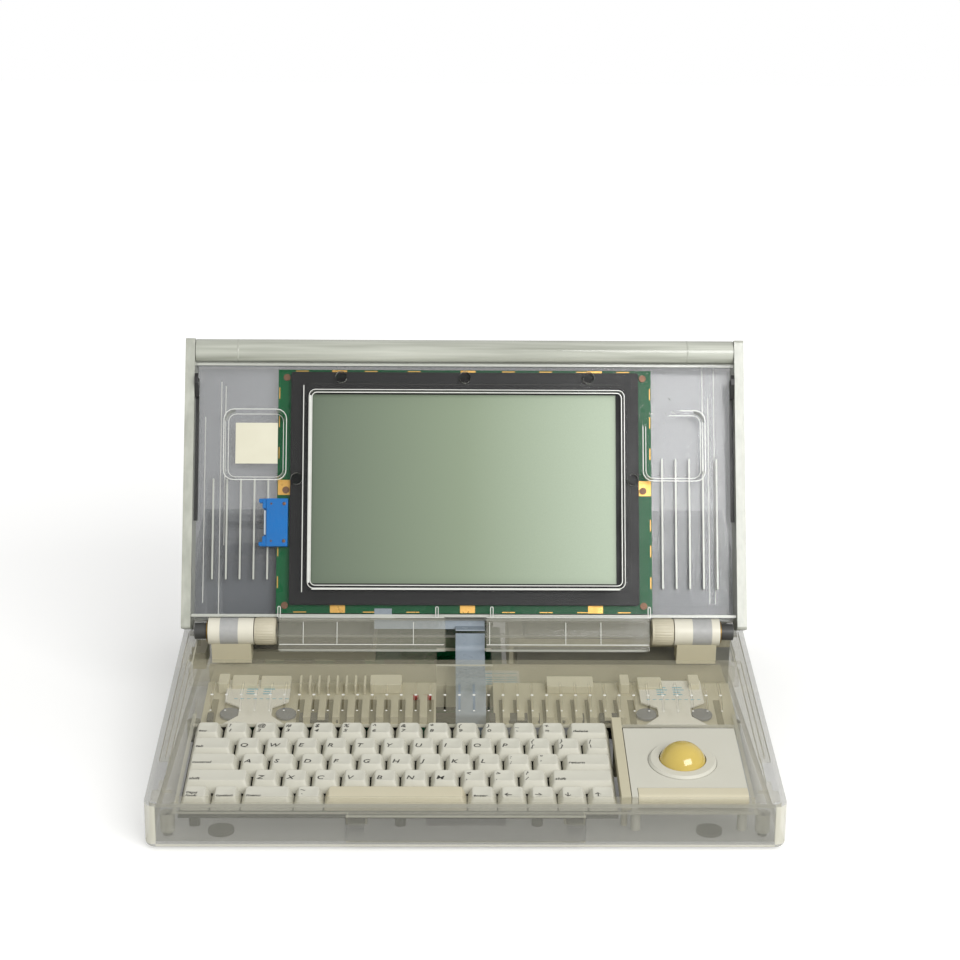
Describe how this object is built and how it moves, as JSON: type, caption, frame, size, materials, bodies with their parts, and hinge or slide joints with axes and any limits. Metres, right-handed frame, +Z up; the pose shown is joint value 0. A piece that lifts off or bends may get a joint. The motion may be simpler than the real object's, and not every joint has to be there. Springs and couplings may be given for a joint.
{
  "type": "vintage luggable computer",
  "caption": "Clear-cased luggable computer: wedge base with keyboard, trackball and rear hump, hinged flat display lid with latch bar, sliding handle, inner boards and drives.",
  "frame": {"origin": "centre of the base's underside, on the surface that it stands on", "axes": "+X to the user's right, +Y to the back, +Z up; the user sits on the -Y side"},
  "size_m": [0.387, 0.352, 0.2518],
  "materials": {
    "clear_plastic": "clear moulded polycarbonate, polished",
    "milky_plastic": "thick clear plastic that looks milky",
    "key_plastic": "warm off-white moulded plastic, fine texture",
    "cream_plastic": "cream moulded plastic",
    "ball_plastic": "polished yellow plastic",
    "dark_plastic": "black moulded plastic",
    "blue_plastic": "blue connector plastic",
    "ribbon_film": "bluish grey flexible film",
    "circuit_board": "green solder mask",
    "chip_epoxy": "black moulded chip packages",
    "display_glass": "grey-green liquid crystal glass, satin",
    "dark_metal": "dark grey painted sheet steel",
    "steel": "bright steel",
    "drive_metal": "cast and pressed metal",
    "rubber": "dark rubber",
    "paper": "blank paper label"
  },
  "bodies": {
    "base": {"base_tray": "clear_plastic", "base_deck": "clear_plastic", "rear_cover": "clear_plastic", "trackball_housing": "key_plastic", "filler_strip": "cream_plastic", "drive_frame": "cream_plastic", "hinge_clutches": "cream_plastic", "hinge_brackets": "cream_plastic", "connector_tabs": "cream_plastic", "handle_guides": "cream_plastic", "programmer_switch": "cream_plastic", "key_switches": "dark_plastic", "speaker": "dark_plastic", "battery_pack": "dark_plastic", "port_connectors": "dark_plastic", "base_flex_cable": "ribbon_film", "logic_board": "circuit_board", "memory_card": "circuit_board", "board_chips": "chip_epoxy", "keyboard_frame": "dark_metal", "case_screws": "steel", "port_panel": "steel", "hard_drive": "drive_metal", "floppy_drive": "drive_metal", "feet": "rubber"},
    "lid": {"lid_shell": "clear_plastic", "lid_bezel": "clear_plastic", "lcd_frame": "dark_metal", "lcd_panel": "display_glass", "lcd_board": "circuit_board", "lid_screws": "steel", "lcd_connector": "blue_plastic", "lid_label": "paper", "clutch_covers": "clear_plastic", "lid_flex_cable": "ribbon_film", "hinge_hubs": "cream_plastic", "hinge_shafts": "steel"},
    "latch_bar": {"latch_bar": "milky_plastic"},
    "latch_slides": {"latch_slides": "dark_plastic"},
    "handle": {"handle": "clear_plastic"},
    "battery_door": {"battery_door": "clear_plastic"},
    "trackball": {"trackball": "ball_plastic"},
    "trackball_roller": {"trackball_roller": "steel"},
    "trackball_ring": {"trackball_ring": "key_plastic"},
    "trackball_button": {"trackball_button": "cream_plastic"},
    "reset_button": {"reset_button": "cream_plastic"},
    "interrupt_button": {"interrupt_button": "cream_plastic"},
    "number_row_keys": {"number_row_keys": "key_plastic"},
    "delete_key": {"delete_key": "key_plastic"},
    "tab_key": {"tab_key": "key_plastic"},
    "top_letter_keys": {"top_letter_keys": "key_plastic"},
    "control_key": {"control_key": "key_plastic"},
    "home_letter_keys": {"home_letter_keys": "key_plastic"},
    "return_key": {"return_key": "key_plastic"},
    "left_shift_key": {"left_shift_key": "key_plastic"},
    "bottom_letter_keys": {"bottom_letter_keys": "key_plastic"},
    "right_shift_key": {"right_shift_key": "key_plastic"},
    "modifier_keys": {"modifier_keys": "key_plastic"},
    "space_bar": {"space_bar": "key_plastic"},
    "arrow_keys": {"arrow_keys": "key_plastic"}
  },
  "joints": [
    {"name": "lid_hinge", "type": "hinge", "parent": "base", "child": "lid", "pos_m": [0, 0.024, 0.0643], "axis": [1, 0, 0], "range_deg": [-6, 121.6]},
    {"name": "latch_bar_turn", "type": "hinge", "parent": "lid", "child": "latch_bar", "pos_m": [0, 0.10393, 0.24185], "axis": [1, 0, 0], "range_deg": [0, 12]},
    {"name": "latch_slides_travel", "type": "slide", "parent": "lid", "child": "latch_slides", "axis": [0, 0.3987, 0.9171], "range_m": [0, 0.003]},
    {"name": "handle_slide", "type": "slide", "parent": "base", "child": "handle", "axis": [0, -1, 0], "range_m": [0, 0.036]},
    {"name": "battery_door_lift", "type": "slide", "parent": "base", "child": "battery_door", "axis": [0, -0.1409, 0.99], "range_m": [0, 0.04]},
    {"name": "trackball_roll", "type": "hinge", "parent": "base", "child": "trackball", "pos_m": [0.1352, -0.12258, 0.03249], "axis": [1, 0, 0], "continuous": true},
    {"name": "trackball_roller_spin", "type": "hinge", "parent": "base", "child": "trackball_roller", "pos_m": [0.1352, -0.1358, 0.02012], "axis": [1, 0, 0], "continuous": true},
    {"name": "trackball_ring_twist", "type": "hinge", "parent": "base", "child": "trackball_ring", "pos_m": [0.1352, -0.12299, 0.03536], "axis": [0, -0.1409, 0.99], "range_deg": [0, 30]},
    {"name": "trackball_button_press", "type": "slide", "parent": "base", "child": "trackball_button", "axis": [0, 0.1409, -0.99], "range_m": [0, 0.0015], "stiffness_N_per_m": 400, "springref_m": -0.001},
    {"name": "reset_press", "type": "slide", "parent": "base", "child": "reset_button", "axis": [1, 0, 0], "range_m": [0, 0.001], "stiffness_N_per_m": 200, "springref_m": -0.001},
    {"name": "interrupt_press", "type": "slide", "parent": "base", "child": "interrupt_button", "axis": [1, 0, 0], "range_m": [0, 0.001], "stiffness_N_per_m": 200, "springref_m": -0.001},
    {"name": "number_row_keys_press", "type": "slide", "parent": "base", "child": "number_row_keys", "axis": [0, 0.1409, -0.99], "range_m": [0, 0.003], "stiffness_N_per_m": 1950, "springref_m": -0.002},
    {"name": "delete_key_press", "type": "slide", "parent": "base", "child": "delete_key", "axis": [0, 0.1409, -0.99], "range_m": [0, 0.003], "stiffness_N_per_m": 150, "springref_m": -0.002},
    {"name": "tab_key_press", "type": "slide", "parent": "base", "child": "tab_key", "axis": [0, 0.1409, -0.99], "range_m": [0, 0.003], "stiffness_N_per_m": 150, "springref_m": -0.002},
    {"name": "top_letter_keys_press", "type": "slide", "parent": "base", "child": "top_letter_keys", "axis": [0, 0.1409, -0.99], "range_m": [0, 0.003], "stiffness_N_per_m": 1950, "springref_m": -0.002},
    {"name": "control_key_press", "type": "slide", "parent": "base", "child": "control_key", "axis": [0, 0.1409, -0.99], "range_m": [0, 0.003], "stiffness_N_per_m": 150, "springref_m": -0.002},
    {"name": "home_letter_keys_press", "type": "slide", "parent": "base", "child": "home_letter_keys", "axis": [0, 0.1409, -0.99], "range_m": [0, 0.003], "stiffness_N_per_m": 1650, "springref_m": -0.002},
    {"name": "return_key_press", "type": "slide", "parent": "base", "child": "return_key", "axis": [0, 0.1409, -0.99], "range_m": [0, 0.003], "stiffness_N_per_m": 150, "springref_m": -0.002},
    {"name": "left_shift_key_press", "type": "slide", "parent": "base", "child": "left_shift_key", "axis": [0, 0.1409, -0.99], "range_m": [0, 0.003], "stiffness_N_per_m": 150, "springref_m": -0.002},
    {"name": "bottom_letter_keys_press", "type": "slide", "parent": "base", "child": "bottom_letter_keys", "axis": [0, 0.1409, -0.99], "range_m": [0, 0.003], "stiffness_N_per_m": 1500, "springref_m": -0.002},
    {"name": "right_shift_key_press", "type": "slide", "parent": "base", "child": "right_shift_key", "axis": [0, 0.1409, -0.99], "range_m": [0, 0.003], "stiffness_N_per_m": 150, "springref_m": -0.002},
    {"name": "modifier_keys_press", "type": "slide", "parent": "base", "child": "modifier_keys", "axis": [0, 0.1409, -0.99], "range_m": [0, 0.003], "stiffness_N_per_m": 750, "springref_m": -0.002},
    {"name": "space_bar_press", "type": "slide", "parent": "base", "child": "space_bar", "axis": [0, 0.1409, -0.99], "range_m": [0, 0.003], "stiffness_N_per_m": 150, "springref_m": -0.002},
    {"name": "arrow_keys_press", "type": "slide", "parent": "base", "child": "arrow_keys", "axis": [0, 0.1409, -0.99], "range_m": [0, 0.003], "stiffness_N_per_m": 600, "springref_m": -0.002}
  ],
  "couplings": [
    {"joint": "latch_bar_turn", "follows": "latch_slides_travel", "rad_per_m": 69.803},
    {"joint": "trackball_roller_spin", "follows": "trackball_roll", "ratio": -5}
  ]
}
